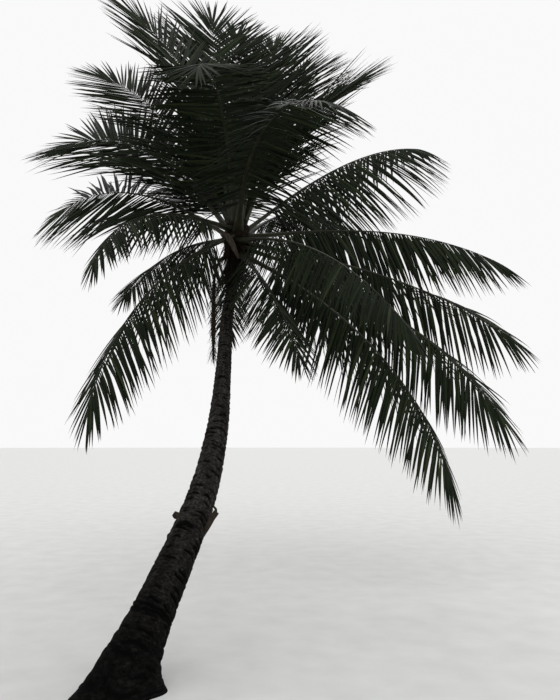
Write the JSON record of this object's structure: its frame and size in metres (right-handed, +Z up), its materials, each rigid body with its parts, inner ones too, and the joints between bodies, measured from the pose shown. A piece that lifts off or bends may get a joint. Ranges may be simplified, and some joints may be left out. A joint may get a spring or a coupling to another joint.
{
  "type": "coconut palm tree",
  "caption": "Leaning coconut palm with a ringed trunk that flares at the ground, a heart of leaf sheaths and a full crown of long, arching fronds with hanging leaflets.",
  "frame": {"origin": "middle of the flat cut where the trunk leaves the ground", "axes": "+Z up, +X to the right and +Y away from the viewer of the picture; the trunk leans towards +Y"},
  "size_m": [8.2448, 9.0513, 10.1265],
  "materials": {
    "bark": "rough grey bark with leaf-scar rings",
    "sheath": "dry fibrous leaf sheaths",
    "dry_stalk": "dry, ridged and dull",
    "frond": "leathery leaflets on a smooth rib"
  },
  "bodies": {
    "root": {"trunk": "bark", "heart": "sheath", "old_stalk": "dry_stalk", "spathe": "dry_stalk", "frond_right_level": "frond", "frond_right_high": "frond", "frond_right_lower": "frond", "frond_right_low": "frond", "frond_right_hanging": "frond", "frond_near_right_arch": "frond", "frond_near_right_arch_end": "frond", "frond_near_right": "frond", "frond_near_low": "frond", "frond_near_left_low": "frond", "frond_near_left": "frond", "frond_near_left_end": "frond", "frond_left_level": "frond", "frond_left_level_end": "frond", "frond_left_low": "frond", "frond_left_high": "frond", "frond_left_high_end": "frond", "frond_left_steep": "frond", "frond_left_upright": "frond", "frond_top_left": "frond", "frond_top_right": "frond", "frond_top_near": "frond", "frond_top_near_end": "frond", "frond_top_far": "frond", "frond_far_right_high": "frond", "frond_far_right_steep": "frond", "frond_far_hanging": "frond", "frond_far_hanging_end": "frond", "frond_far_left_high": "frond", "frond_far_right": "frond", "frond_far_left": "frond"}
  },
  "joints": []
}
